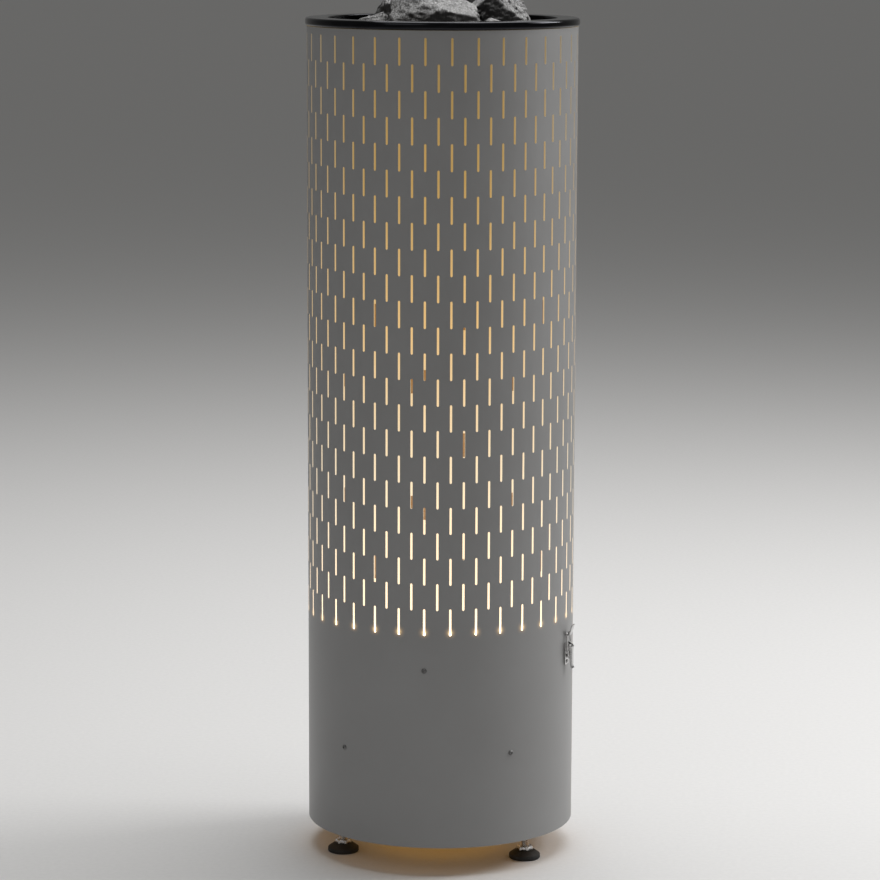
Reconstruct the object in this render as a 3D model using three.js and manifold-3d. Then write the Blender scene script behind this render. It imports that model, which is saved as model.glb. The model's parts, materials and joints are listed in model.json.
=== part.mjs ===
// Sauna heater: a round perforated floor heater filled with stones and lit from inside.
// Millimetres, Z up, the floor at Z = 0, the front facing -Y.
// Angles are measured from the front towards +X.

import * as THREE from 'three';
import { mergeVertices } from 'three/addons/utils/BufferGeometryUtils.js';
import loadManifold from 'manifold-3d';

const kernel = await loadManifold();
kernel.setup();
const { Manifold, Mesh } = kernel;

// Clearances
const SEAT = 0.3; // between pieces that rest on each other
const PLAY = 0.4; // round a shank, a tube or a pin in its hole
const WINDOW_PLAY = 1; // round a tongue that passes through a sheet

// Casing
const CASING_DIAMETER = 320;
const CASING_WALL = 1.5;
const CASING_HEIGHT = 955;
const FLOOR_GAP = 35;
const SEAM_GAP = 0.6;
const SLOT_COLUMNS = 33;
const SLOT_ROWS = 23;
const SLOT_LENGTH = 32;
const SLOT_WIDTH = 2.6;
const SLOT_ROW_PITCH = 30;
const SLOT_TOP_MARGIN = 8;

// Top ring
const RING_HEIGHT = 9.5;
const RING_OVERHANG = 2;
const RING_ROUND = 3;
const RING_LIP = 4;
const RING_SKIRT_DEPTH = 5;
const RING_SKIRT_WALL = 2;

// Stone jacket
const AIR_GAP = 18;
const JACKET_WALL = 1.2;
const JACKET_HOLES = 8;
const JACKET_HOLE_ROWS = 5;
const JACKET_HOLE_WIDTH = 18;
const JACKET_HOLE_LENGTH = 28;
const JACKET_FOOT_MARGIN = 89; // from the jacket's foot to the middle of the lowest holes
const JACKET_TOP_MARGIN = 330; // from the middle of the highest holes to the jacket's top
const JACKET_TURN = 18.5; // degrees from the front to the first column of holes

// Deck, base and posts
const DECK_BELOW_SLOTS = 15.7;
const DECK_THICKNESS = 3;
const TAB_DEPTH = 34;
const TAB_WALL = 3;
const BASE_RISE = 5;
const BASE_THICKNESS = 4;
const BASE_RING_WIDTH = 40;
const POST_COLUMN = 7;
const POST_WIDTH = 14;
const POST_DEPTH = 5;
const DECK_VENTS = 8;
const DECK_VENT_DIAMETER = 16;
const DECK_VENT_INSET = 24;

// Casing screws
const SCREW_DIAMETER = 3;
const SCREW_LENGTH = 9;
const SCREW_HEAD_DIAMETER = 6;
const SCREW_HEAD_HEIGHT = 1.8;
const UPPER_SCREW_DROP = 26;
const LOWER_SCREW_RISE = 110;

// Feet
const FOOT_INSET = 13.5;
const FOOT_SPREAD = 60;
const PAD_DIAMETER = 38;
const PAD_HEIGHT = 10;
const PAD_EDGE_HEIGHT = 6;
const PAD_TOP_DIAMETER = 24;
const STUD_DIAMETER = 10;
const STUD_LENGTH = 56;
const STUD_COLLAR_DIAMETER = 17;
const STUD_COLLAR_HEIGHT = 5;
const NUT_WIDTH = 17;
const NUT_HEIGHT = 7;

// Light
const LIGHT_WIDTH = 12;
const LIGHT_CARRIER_HEIGHT = 10;
const LIGHT_STRIP_WIDTH = 8;
const LIGHT_STRIP_HEIGHT = 3;
const DRIVER_LENGTH = 90;
const DRIVER_WIDTH = 26;
const DRIVER_HEIGHT = 22;
const DRIVER_SPACE = 10;

// Heating elements
const ELEMENT_COUNT = 3;
const ELEMENT_PITCH = 40;
const ELEMENT_SPAN = 70;
const ELEMENT_TUBE = 8.5;
const ELEMENT_BELOW_FILL = 35;
const ELEMENT_TAIL = 24;
const COLLAR_DIAMETER = 14;
const COLLAR_HEIGHT = 6;
const LINK_THICKNESS = 2;
const LINK_WIDTH = 14;
const LINK_DROP = 14;

// Connection box
const BOX_LENGTH = 150;
const BOX_WIDTH = 130;
const BOX_HEIGHT = 100;
const BOX_WALL = 1.2;
const COVER_THICKNESS = 1.5;
const BLOCK_LENGTH = 64;
const BLOCK_WIDTH = 22;
const BLOCK_HEIGHT = 24;
const CUTOUT_SIZE = 26;
const CUTOUT_HEIGHT = 34;
const BUTTON_DIAMETER = 7;
const BUTTON_PROUD = 5;
const BUTTON_STROKE = 2.5;
const BUTTON_GUIDE = 6;
const GLAND_BORE = 10;
const GLAND_DIAMETER = 20;
const GLAND_FLANGE = 28;
const GLAND_FLANGE_LENGTH = 6;
const GLAND_LENGTH = 24;
const GLAND_INSIDE = 7;
const GLAND_NUT_LENGTH = 9;

// Draw latch
const LATCH_COLUMN = 14;
const LATCH_PIVOT_OUT = 5.6;
const LATCH_PIVOT_DROP = 19;
const LATCH_ARM = 10;
const LATCH_ARM_IN = 0.4;
const LATCH_PLATE = 1.5;
const LATCH_PLATE_WIDTH = 12.4;
const LATCH_PLATE_ABOVE = 5.5;
const LATCH_PLATE_BELOW = 21.5;
const LEVER_WIDTH = 6.4;
const LEVER_BOSS = 3.3;
const LEVER_THICKNESS = 5.6;
const LEVER_BLOCK = 13;
const LEVER_LENGTH = 26.5;
const LEVER_BLADE = 2.2;
const LEVER_TIP_HEIGHT = 4.4;
const LEVER_TIP_OUT = 1.5;
const LEVER_TIP_RISE = 0.9;
const EAR_GAP = 0.4;
const EAR_WALL = 1;
const EAR_REACH = 3.4;
const LATCH_PIN_DIAMETER = 3;
const BAIL_WIRE = 2;
const BAIL_WIDTH = 12.8;
const BAIL_OUT = 3;
const BAIL_GRIP = 2;
const BAIL_FOOT_BEND = 1.4;
const BAIL_HEAD_BEND = 2;
const KEEPER_WIDTH = 8;
const KEEPER_PLATE = 1.8;
const KEEPER_OUT = 6.2;
const KEEPER_LIP = 11.5;
const KEEPER_LEAN = 3.8;
const KEEPER_CORNER = 1.3;
const RIVET_DIAMETER = 3;
const RIVET_HEAD_DIAMETER = 4.8;
const RIVET_HEAD_HEIGHT = 0.8;
const RIVET_TAIL = 2;
const RIVET_DROPS = [11.5, 18];

// Stones
const FILL_DROP = 45;
const FILL_GAP = 2;
const FILL_CORNERS = 24;
const FILL_ROUGHNESS = 5;
const CHANNEL_PLAY = 2;
const STONE_GAP = 0.6;
const STONE_FACETS = 12;
const STONE_CHIP = 0.2; // share of a stone's size that its facets vary by
const STONE_SPIRAL = 2.4; // radians from one facet to the next
const STONE_TURN = 1.7; // radians from one stone to the next
const STONE_WALL_GAP = 1;
// Each top stone: place across the opening as a share of its radius, height above the filling,
// half width and half height.
const STONES = [
  { x: 0.64, y: -0.36, up: 11, wide: 56, tall: 28 },
  { x: 0.0, y: -0.7, up: 4, wide: 62, tall: 26 },
  { x: -0.6, y: -0.36, up: 8, wide: 58, tall: 27 },
  { x: -0.57, y: 0.33, up: 4, wide: 60, tall: 28 },
  { x: 0.0, y: 0.66, up: 20, wide: 58, tall: 31 },
  { x: 0.57, y: 0.33, up: 8, wide: 60, tall: 28 },
  { x: 0.0, y: 0.0, up: 16, wide: 50, tall: 28 },
  { x: -0.02, y: -0.34, up: 43, wide: 70, tall: 32 },
  { x: 0.47, y: 0.06, up: 50, wide: 46, tall: 28 },
  { x: -0.56, y: -0.36, up: 44, wide: 24, tall: 12 },
  { x: -0.34, y: 0.4, up: 57, wide: 46, tall: 28 },
  { x: 0.2, y: 0.56, up: 64, wide: 48, tall: 30 },
];

// Derived sizes of the casing. Each facet of the round holds one column of slots.
const facets = 2 * SLOT_COLUMNS;
const facetAngle = (2 * Math.PI) / facets;
const casingRadius = CASING_DIAMETER / 2;
const casingInner = casingRadius - CASING_WALL;
const facetOuter = casingRadius * Math.cos(facetAngle / 2);
const facetInner = casingInner * Math.cos(facetAngle / 2);
const casingTop = FLOOR_GAP + CASING_HEIGHT;
const firstRow = casingTop - SLOT_TOP_MARGIN - SLOT_LENGTH / 2;
const slotsEnd = firstRow - (SLOT_ROWS - 1) * SLOT_ROW_PITCH - SLOT_LENGTH / 2;

// Derived heights and radii of the frame
const deckTop = slotsEnd - DECK_BELOW_SLOTS;
const deckBottom = deckTop - DECK_THICKNESS;
const baseBottom = FLOOR_GAP + BASE_RISE;
const baseTop = baseBottom + BASE_THICKNESS;
const frameReach = facetInner - SEAT;
const jacketRadius = casingInner - AIR_GAP;
const jacketInner = jacketRadius - JACKET_WALL;
const ringBottom = casingTop + SEAT;
const ringInner = jacketInner - RING_LIP;
const fillTop = casingTop - FILL_DROP;
const upperScrewZ = deckTop - UPPER_SCREW_DROP;
const lowerScrewZ = FLOOR_GAP + LOWER_SCREW_RISE;
const latchPivotZ = deckTop - LATCH_PIVOT_DROP;
const latchPivotOut = facetOuter + LATCH_PIVOT_OUT;
const latchAngle = LATCH_COLUMN * facetAngle;
const keeperTop = deckBottom - SEAT;
const plateBack = facetOuter + SEAT;
const plateFront = plateBack + LATCH_PLATE;
const rivetHeights = RIVET_DROPS.map((drop) => latchPivotZ - drop);
const postAngles = [-1, 1].flatMap((side) => [
  side * POST_COLUMN * facetAngle,
  Math.PI - side * POST_COLUMN * facetAngle,
]);

// Materials
const paint = new THREE.MeshStandardMaterial({ color: 0xc4c4c1, roughness: 0.45, metalness: 0 });
const blackChrome = new THREE.MeshStandardMaterial({ color: 0x17171a, roughness: 0.15, metalness: 0.9 });
const steel = new THREE.MeshStandardMaterial({ color: 0xb4b6b8, roughness: 0.3, metalness: 1 });
const sheet = new THREE.MeshStandardMaterial({ color: 0xa9a49a, roughness: 0.4, metalness: 1 });
const rubber = new THREE.MeshStandardMaterial({ color: 0x161616, roughness: 0.8, metalness: 0 });
const rock = new THREE.MeshStandardMaterial({ color: 0x6b6a66, roughness: 0.95, metalness: 0 });
const plastic = new THREE.MeshStandardMaterial({ color: 0x1d1d1f, roughness: 0.5, metalness: 0 });
const ceramic = new THREE.MeshStandardMaterial({ color: 0xe6e0d2, roughness: 0.5, metalness: 0 });
const red = new THREE.MeshStandardMaterial({ color: 0xb3221c, roughness: 0.4, metalness: 0 });
const glow = new THREE.MeshStandardMaterial({ color: 0xfff1d6, roughness: 0.4, metalness: 0 });

// Closed, welded, outward facing copy of a geometry with positions only
function clean(geometry) {
  const bare = new THREE.BufferGeometry();
  bare.setAttribute('position', geometry.getAttribute('position').clone());
  if (geometry.index) bare.setIndex(geometry.index.clone());
  const welded = mergeVertices(bare, 1e-3);
  const points = welded.getAttribute('position');
  const corner = [0, 1, 2].map(() => new THREE.Vector3());
  const kept = [];
  let volume = 0;
  for (let i = 0; i < welded.index.count; i += 3) {
    const [a, b, c] = [0, 1, 2].map((k) => welded.index.getX(i + k));
    if (a === b || b === c || c === a) continue;
    kept.push(a, b, c);
    [a, b, c].forEach((index, k) => corner[k].fromBufferAttribute(points, index));
    volume += corner[0].dot(corner[1].cross(corner[2]));
  }
  if (volume < 0) kept.reverse();
  welded.setIndex(kept);
  return welded;
}

function solidOf(geometry) {
  const tidy = clean(geometry);
  const vertProperties = new Float32Array(tidy.getAttribute('position').array);
  const triVerts = new Uint32Array(tidy.index.array);
  return new Manifold(new Mesh({ numProp: 3, vertProperties, triVerts }));
}

function geometryOf(solid) {
  const mesh = solid.getMesh();
  const geometry = new THREE.BufferGeometry();
  geometry.setAttribute('position', new THREE.BufferAttribute(new Float32Array(mesh.vertProperties), 3));
  geometry.setIndex(new THREE.BufferAttribute(new Uint32Array(mesh.triVerts), 1));
  return geometry;
}

function cut(body, tools) {
  return geometryOf(solidOf(body).subtract(Manifold.union(tools.map(solidOf))));
}

function join(bodies) {
  return geometryOf(Manifold.union(bodies.map(solidOf)));
}

// Radius of the corners of a many-sided hole whose flats clear a given radius
function around(radius, sides) {
  return radius / Math.cos(Math.PI / sides);
}

// Regular polygon as a list of points
function polygon(x, y, radius, sides, start = 0) {
  return Array.from({ length: sides }, (_, i) => {
    const angle = start + (2 * Math.PI * i) / sides;
    return [x + radius * Math.cos(angle), y + radius * Math.sin(angle)];
  });
}

function shapeOf(points, holes = []) {
  const vectors = (list) => list.map(([x, y]) => new THREE.Vector2(x, y));
  const shape = new THREE.Shape(vectors(points));
  shape.holes = holes.map((hole) => new THREE.Path(vectors(hole)));
  return shape;
}

// Outline in the floor plane raised from bottom to top
function prism(points, bottom, top, holes = []) {
  const options = { depth: top - bottom, bevelEnabled: false };
  return new THREE.ExtrudeGeometry(shapeOf(points, holes), options).translate(0, 0, bottom);
}

// Outline in the upright plane, outward and up, given a width across
function sideProfile(points, width, holes = []) {
  const options = { depth: width, bevelEnabled: false };
  return new THREE.ExtrudeGeometry(shapeOf(points, holes), options)
    .rotateX(Math.PI / 2)
    .translate(0, width / 2, 0);
}

// Closed outline of radius and height turned round the upright axis, a facet facing the front
function revolve(profile, sides) {
  const points = [...profile, profile[0]].map(([r, z]) => new THREE.Vector2(r, z));
  return new THREE.LatheGeometry(points, sides, Math.PI / sides).rotateX(Math.PI / 2);
}

function tube(outer, inner, bottom, top, sides) {
  const profile = [[inner, bottom], [outer, bottom], [outer, top], [inner, top]];
  return revolve(profile, sides);
}

function rod(radius, bottom, top, sides) {
  return new THREE.CylinderGeometry(radius, radius, top - bottom, sides)
    .rotateX(Math.PI / 2)
    .translate(0, 0, (bottom + top) / 2);
}

function block(x0, x1, y0, y1, z0, z1) {
  return new THREE.BoxGeometry(x1 - x0, y1 - y0, z1 - z0)
    .translate((x0 + x1) / 2, (y0 + y1) / 2, (z0 + z1) / 2);
}

// Turns a geometry whose +X points outward to an angle from the front
function turned(geometry, angle) {
  return geometry.rotateZ(angle - Math.PI / 2);
}

function radialBlock(r0, r1, width, z0, z1, angle) {
  return turned(block(r0, r1, -width / 2, width / 2, z0, z1), angle);
}

function radialRod(radius, r0, r1, z, angle, sides = 8) {
  return turned(rod(radius, r0, r1, sides).rotateY(Math.PI / 2).translate(0, 0, z), angle);
}

// Path through given points whose steps land on the points
class PointPath extends THREE.Curve {
  constructor(points) {
    super();
    this.points = points;
  }

  getPointAt(u, target = new THREE.Vector3()) {
    return target.copy(this.points[Math.round(u * (this.points.length - 1))]);
  }

  getTangentAt(u, target = new THREE.Vector3()) {
    const i = Math.round(u * (this.points.length - 1));
    const before = this.points[Math.max(i - 1, 0)];
    const here = this.points[i];
    const after = this.points[Math.min(i + 1, this.points.length - 1)];
    target.copy(after).sub(here).normalize();
    return target.add(here.clone().sub(before).normalize()).normalize();
  }
}

function wire(points, radius, sides) {
  const options = { steps: points.length - 1, extrudePath: new PointPath(points), bevelEnabled: false };
  return new THREE.ExtrudeGeometry(shapeOf(polygon(0, 0, radius, sides)), options);
}

// Steady number from 0 to 1 for a pair of counters
function scatter(i, k) {
  const wave = Math.sin(i * 12.9898 + k * 78.233) * 43758.5453;
  return wave - Math.floor(wave);
}

const heater = new THREE.Group();
heater.name = 'sauna_heater';

function piece(name, geometry, material) {
  const mesh = new THREE.Mesh(clean(geometry), material);
  mesh.name = name;
  heater.add(mesh);
}

// Casing: two half shells, each with the slots, screw holes and latch openings that fall on it
function casingCorner(radius, corner, facing) {
  const angle = (corner + 0.5) * facetAngle;
  const x = radius * Math.sin(angle);
  const y = Math.max(radius * Math.cos(angle), SEAM_GAP / 2);
  return [x, -facing * y];
}

function halfShell(facing) {
  const corners = Array.from({ length: SLOT_COLUMNS + 1 }, (_, i) => i - (SLOT_COLUMNS + 1) / 2);
  const outer = corners.map((c) => casingCorner(casingRadius, c, facing));
  const inner = corners.map((c) => casingCorner(casingInner, c, facing));
  return prism([...outer, ...inner.reverse()], FLOOR_GAP, casingTop);
}

function slots(firstColumn) {
  const tools = [];
  for (let column = firstColumn; column < firstColumn + SLOT_COLUMNS; column += 1) {
    for (let row = 0; row < SLOT_ROWS; row += 1) {
      if ((column + row) % 2 !== 0) continue;
      const middle = firstRow - row * SLOT_ROW_PITCH;
      const [low, high] = [middle - SLOT_LENGTH / 2, middle + SLOT_LENGTH / 2];
      const [near, far] = [facetInner - CASING_WALL, casingRadius + CASING_WALL];
      tools.push(radialBlock(near, far, SLOT_WIDTH, low, high, column * facetAngle));
    }
  }
  return tools;
}

function casingHole(radius, z, angle) {
  return radialRod(around(radius, 8), facetInner - CASING_WALL, casingRadius + CASING_WALL, z, angle);
}

const screwHole = SCREW_DIAMETER / 2 + PLAY;
const rivetHole = RIVET_DIAMETER / 2 + PLAY;
const halfColumns = (SLOT_COLUMNS - 1) / 2;
const keeperWindow = radialBlock(
  facetInner - CASING_WALL,
  casingRadius + CASING_WALL,
  KEEPER_WIDTH + 2 * WINDOW_PLAY,
  keeperTop - KEEPER_PLATE - WINDOW_PLAY,
  keeperTop + WINDOW_PLAY,
  latchAngle,
);
const frontOpenings = [
  ...slots(-halfColumns),
  casingHole(screwHole, upperScrewZ, 0),
  casingHole(screwHole, lowerScrewZ, postAngles[0]),
  casingHole(screwHole, lowerScrewZ, postAngles[2]),
  ...rivetHeights.map((z) => casingHole(rivetHole, z, latchAngle)),
  keeperWindow,
];
const rearOpenings = [
  ...slots(halfColumns + 1),
  casingHole(screwHole, upperScrewZ, Math.PI),
  casingHole(screwHole, lowerScrewZ, postAngles[1]),
  casingHole(screwHole, lowerScrewZ, postAngles[3]),
];
piece('casing_front', cut(halfShell(1), frontOpenings), paint);
piece('casing_rear', cut(halfShell(-1), rearOpenings), paint);

// Top ring: flat ring with a rounded rim, its skirt just inside the casing
function roundedCorner(r, z, from) {
  return [0, 1, 2].map((i) => {
    const angle = ((from + i * 45) * Math.PI) / 180;
    return [r + RING_ROUND * Math.cos(angle), z + RING_ROUND * Math.sin(angle)];
  });
}

const ringOuter = casingRadius + RING_OVERHANG;
const ringTop = ringBottom + RING_HEIGHT;
const skirtOuter = facetInner - PLAY;
const skirtBottom = casingTop - RING_SKIRT_DEPTH;
const ringProfile = [
  [ringInner, ringBottom],
  [skirtOuter - RING_SKIRT_WALL, ringBottom],
  [skirtOuter - RING_SKIRT_WALL, skirtBottom],
  [skirtOuter, skirtBottom],
  [skirtOuter, ringBottom],
  ...roundedCorner(ringOuter - RING_ROUND, ringBottom + RING_ROUND, -90),
  ...roundedCorner(ringOuter - RING_ROUND, ringTop - RING_ROUND, 0),
  [ringInner, ringTop],
];
piece('top_ring', revolve(ringProfile, SLOT_COLUMNS), blackChrome);

// Stone jacket: faceted tube with staggered upright air holes in the middles of its facets
const jacketFacets = 4 * JACKET_HOLES;
const jacketBottom = deckTop + SEAT;
const holeRise = casingTop - jacketBottom - JACKET_FOOT_MARGIN - JACKET_TOP_MARGIN;
const jacketHoles = [];
for (let row = 0; row < JACKET_HOLE_ROWS; row += 1) {
  const z = jacketBottom + JACKET_FOOT_MARGIN + (holeRise * row) / (JACKET_HOLE_ROWS - 1);
  const [low, high] = [z - JACKET_HOLE_LENGTH / 2, z + JACKET_HOLE_LENGTH / 2];
  for (let i = 0; i < JACKET_HOLES; i += 1) {
    const angle = (2 * Math.PI * (i + (row % 2) / 2)) / JACKET_HOLES;
    const [near, far] = [jacketInner - 3 * JACKET_WALL, jacketRadius + JACKET_WALL];
    jacketHoles.push(radialBlock(near, far, JACKET_HOLE_WIDTH, low, high, angle));
  }
}
const jacket = cut(tube(jacketRadius, jacketInner, jacketBottom, casingTop, jacketFacets), jacketHoles);
piece('stone_jacket', jacket.rotateZ((JACKET_TURN * Math.PI) / 180), sheet);

// Stone deck: disc with an arm to each post, to the upper casing screws and to the latch keeper
const elementRows = Array.from(
  { length: ELEMENT_COUNT },
  (_, i) => (i - (ELEMENT_COUNT - 1) / 2) * ELEMENT_PITCH,
);
const legs = elementRows.flatMap((y) => [-1, 1].map((side) => [(side * ELEMENT_SPAN) / 2, y]));
const legHole = around(ELEMENT_TUBE / 2 + PLAY, 8);
const vents = Array.from({ length: DECK_VENTS }, (_, i) => {
  const angle = (2 * Math.PI * (i + 0.5)) / DECK_VENTS;
  const r = jacketInner - DECK_VENT_INSET;
  return polygon(r * Math.cos(angle), r * Math.sin(angle), DECK_VENT_DIAMETER / 2, 6);
});
const deckHoles = [...legs.map(([x, y]) => polygon(x, y, legHole, 8)), ...vents];
const deckDisc = prism(polygon(0, 0, jacketRadius, jacketFacets), deckBottom, deckTop, deckHoles);
const armRoot = jacketRadius - POST_DEPTH;
const deckArms = [...postAngles, 0, Math.PI, latchAngle].map((angle) =>
  radialBlock(armRoot, frameReach, POST_WIDTH, deckBottom, deckTop, angle),
);
const deckTabs = [0, Math.PI].map((angle) =>
  radialBlock(frameReach - TAB_WALL, frameReach, POST_WIDTH, deckTop - TAB_DEPTH, deckTop, angle),
);
const tabHoles = [0, Math.PI].map((angle) => {
  const [near, far] = [frameReach - 2 * TAB_WALL, frameReach + TAB_WALL];
  return radialRod(around(screwHole, 8), near, far, upperScrewZ, angle);
});
piece('stone_deck', cut(join([deckDisc, ...deckArms, ...deckTabs]), tabHoles), sheet);

// Base frame: flat ring with an arm to each post and a hole for each foot
const baseOuter = jacketRadius;
const footRadius = baseOuter - FOOT_INSET;
const footAngles = [-FOOT_SPREAD, FOOT_SPREAD, 180].map((degrees) => (degrees * Math.PI) / 180);
const footPlaces = footAngles.map((a) => [footRadius * Math.sin(a), -footRadius * Math.cos(a)]);
const studHole = around(STUD_DIAMETER / 2 + PLAY, 10);
const baseHoles = [
  polygon(0, 0, baseOuter - BASE_RING_WIDTH, jacketFacets),
  ...footPlaces.map(([x, y]) => polygon(x, y, studHole, 10)),
];
const baseRing = prism(polygon(0, 0, baseOuter, jacketFacets), baseBottom, baseTop, baseHoles);
const baseArms = postAngles.map((angle) =>
  radialBlock(armRoot, frameReach, POST_WIDTH, baseBottom, baseTop, angle),
);
piece('base_frame', join([baseRing, ...baseArms]), sheet);

// Posts: flat bars between base and deck, drilled for the lower casing screws
postAngles.forEach((angle, i) => {
  const [near, far] = [frameReach - POST_DEPTH, frameReach];
  const bar = radialBlock(near, far, POST_WIDTH, baseTop + SEAT, deckBottom - SEAT, angle);
  const hole = radialRod(around(screwHole, 8), near - POST_DEPTH, far + POST_DEPTH, lowerScrewZ, angle);
  piece(`post_${i + 1}`, cut(bar, [hole]), sheet);
});

// Casing screws: domed heads outside, shanks through casing and frame
function casingScrew(z, angle) {
  const shank = SCREW_DIAMETER / 2;
  const head = SCREW_HEAD_DIAMETER / 2;
  const profile = [
    [0, -SCREW_LENGTH],
    [shank, -SCREW_LENGTH],
    [shank, 0],
    [head, 0],
    [head, SCREW_HEAD_HEIGHT / 2],
    [head / 2, SCREW_HEAD_HEIGHT],
    [0, SCREW_HEAD_HEIGHT],
  ];
  return turned(revolve(profile, 8).rotateY(Math.PI / 2).translate(plateBack, 0, z), angle);
}

const screwPlaces = [
  [upperScrewZ, 0],
  [lowerScrewZ, postAngles[0]],
  [lowerScrewZ, postAngles[2]],
  [upperScrewZ, Math.PI],
  [lowerScrewZ, postAngles[1]],
  [lowerScrewZ, postAngles[3]],
];
screwPlaces.forEach(([z, angle], i) => piece(`casing_screw_${i + 1}`, casingScrew(z, angle), steel));

// Feet: tapered pad, stud with a collar, lock nut under the base
const padEdge = PAD_DIAMETER / 2;
const padProfile = [
  [0, 0],
  [padEdge, 0],
  [padEdge, PAD_EDGE_HEIGHT],
  [PAD_TOP_DIAMETER / 2, PAD_HEIGHT],
  [0, PAD_HEIGHT],
];
const collarBottom = PAD_HEIGHT + SEAT;
const collarTop = collarBottom + STUD_COLLAR_HEIGHT;
const studProfile = [
  [0, collarBottom],
  [STUD_COLLAR_DIAMETER / 2, collarBottom],
  [STUD_COLLAR_DIAMETER / 2, collarTop],
  [STUD_DIAMETER / 2, collarTop],
  [STUD_DIAMETER / 2, collarBottom + STUD_LENGTH],
  [0, collarBottom + STUD_LENGTH],
];
const nutTop = baseBottom - SEAT;
footPlaces.forEach(([x, y], i) => {
  const hexagon = polygon(0, 0, around(NUT_WIDTH / 2, 6), 6);
  const nut = prism(hexagon, nutTop - NUT_HEIGHT, nutTop, [polygon(0, 0, studHole, 10)]);
  piece(`foot_pad_${i + 1}`, revolve(padProfile, 16).translate(x, y, 0), rubber);
  piece(`foot_stud_${i + 1}`, revolve(studProfile, 10).translate(x, y, 0), steel);
  piece(`foot_nut_${i + 1}`, nut.translate(x, y, 0), steel);
});

// Light: carrier ring on the deck arms in the air gap, LED strip on top of it
const lightMiddle = jacketRadius + AIR_GAP / 2;
const carrierBottom = deckTop + SEAT;
const carrierTop = carrierBottom + LIGHT_CARRIER_HEIGHT;
const stripBottom = carrierTop + SEAT;
function lightRing(width, bottom, top) {
  return tube(lightMiddle + width / 2, lightMiddle - width / 2, bottom, top, SLOT_COLUMNS);
}

piece('light_carrier', lightRing(LIGHT_WIDTH, carrierBottom, carrierTop), sheet);
piece('light_strip', lightRing(LIGHT_STRIP_WIDTH, stripBottom, stripBottom + LIGHT_STRIP_HEIGHT), glow);

// Light driver: a box hung under the deck in front of the connection box
const driverRear = -BOX_WIDTH / 2 - DRIVER_SPACE;
const driver = block(
  -DRIVER_LENGTH / 2,
  DRIVER_LENGTH / 2,
  driverRear - DRIVER_WIDTH,
  driverRear,
  deckBottom - SEAT - DRIVER_HEIGHT,
  deckBottom - SEAT,
);
piece('light_driver', driver, plastic);

// Heating elements: U tubes that stand in the filling, with collars on the deck
const elementBend = fillTop - ELEMENT_BELOW_FILL - ELEMENT_SPAN / 2;
const elementEnd = deckBottom - ELEMENT_TAIL;
elementRows.forEach((y, i) => {
  const bend = Array.from({ length: 9 }, (_, k) => {
    const angle = Math.PI - (Math.PI * k) / 8;
    const [x, z] = [Math.cos(angle), Math.sin(angle)].map((part) => (part * ELEMENT_SPAN) / 2);
    return new THREE.Vector3(x, y, elementBend + z);
  });
  const ends = [-1, 1].map((side) => new THREE.Vector3((side * ELEMENT_SPAN) / 2, y, elementEnd));
  const pipe = wire([ends[0], ...bend, ends[1]], ELEMENT_TUBE / 2, 6);
  const collars = [-1, 1].map((side) =>
    rod(COLLAR_DIAMETER / 2, deckTop + SEAT, deckTop + SEAT + COLLAR_HEIGHT, 8)
      .translate((side * ELEMENT_SPAN) / 2, y, 0),
  );
  piece(`element_${i + 1}`, join([pipe, ...collars]), steel);
});

// Star link: bar that joins the element ends on one side
const linkSide = ELEMENT_SPAN / 2;
const linkReach = ((ELEMENT_COUNT - 1) * ELEMENT_PITCH + LINK_WIDTH) / 2;
const linkOutline = [
  [linkSide - LINK_WIDTH / 2, -linkReach],
  [linkSide + LINK_WIDTH / 2, -linkReach],
  [linkSide + LINK_WIDTH / 2, linkReach],
  [linkSide - LINK_WIDTH / 2, linkReach],
];
const linkHoles = elementRows.map((y) => polygon(linkSide, y, legHole, 8));
const linkTop = deckBottom - LINK_DROP;
piece('star_link', prism(linkOutline, linkTop - LINK_THICKNESS, linkTop, linkHoles), steel);

// Connection box: four walls under the deck, closed below by a cover
function rectangle(length, width) {
  const [x, y] = [length / 2, width / 2];
  return [[-x, -y], [x, -y], [x, y], [-x, y]];
}

const boxTop = deckBottom - SEAT;
const boxBottom = boxTop - BOX_HEIGHT;
const boxRear = BOX_WIDTH / 2;
const boxInside = rectangle(BOX_LENGTH - 2 * BOX_WALL, BOX_WIDTH - 2 * BOX_WALL);
const boxWalls = prism(rectangle(BOX_LENGTH, BOX_WIDTH), boxBottom, boxTop, [boxInside]);
const glandZ = boxBottom + GLAND_FLANGE;
const glandHole = rod(around(GLAND_DIAMETER / 2 + PLAY, 12), boxRear - BOX_WIDTH / 4, boxRear + BOX_WALL, 12)
  .rotateX(-Math.PI / 2)
  .translate(0, 0, glandZ);
piece('connection_box', cut(boxWalls, [glandHole]), sheet);

const coverTop = boxBottom - SEAT;
const coverBottom = coverTop - COVER_THICKNESS;
const [buttonX, buttonY] = [BOX_LENGTH / 4, BOX_WIDTH / 5];
const buttonHole = polygon(buttonX, buttonY, around(BUTTON_DIAMETER / 2 + PLAY, 10), 10);
const cover = prism(rectangle(BOX_LENGTH, BOX_WIDTH), coverBottom, coverTop, [buttonHole]);
piece('box_cover', cover, sheet);

const shelf = coverTop + SEAT;
const blockY = -BOX_WIDTH / 4;
const terminals = block(
  -BLOCK_LENGTH / 2,
  BLOCK_LENGTH / 2,
  blockY - BLOCK_WIDTH / 2,
  blockY + BLOCK_WIDTH / 2,
  shelf,
  shelf + BLOCK_HEIGHT,
);
piece('terminal_block', terminals, ceramic);

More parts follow.
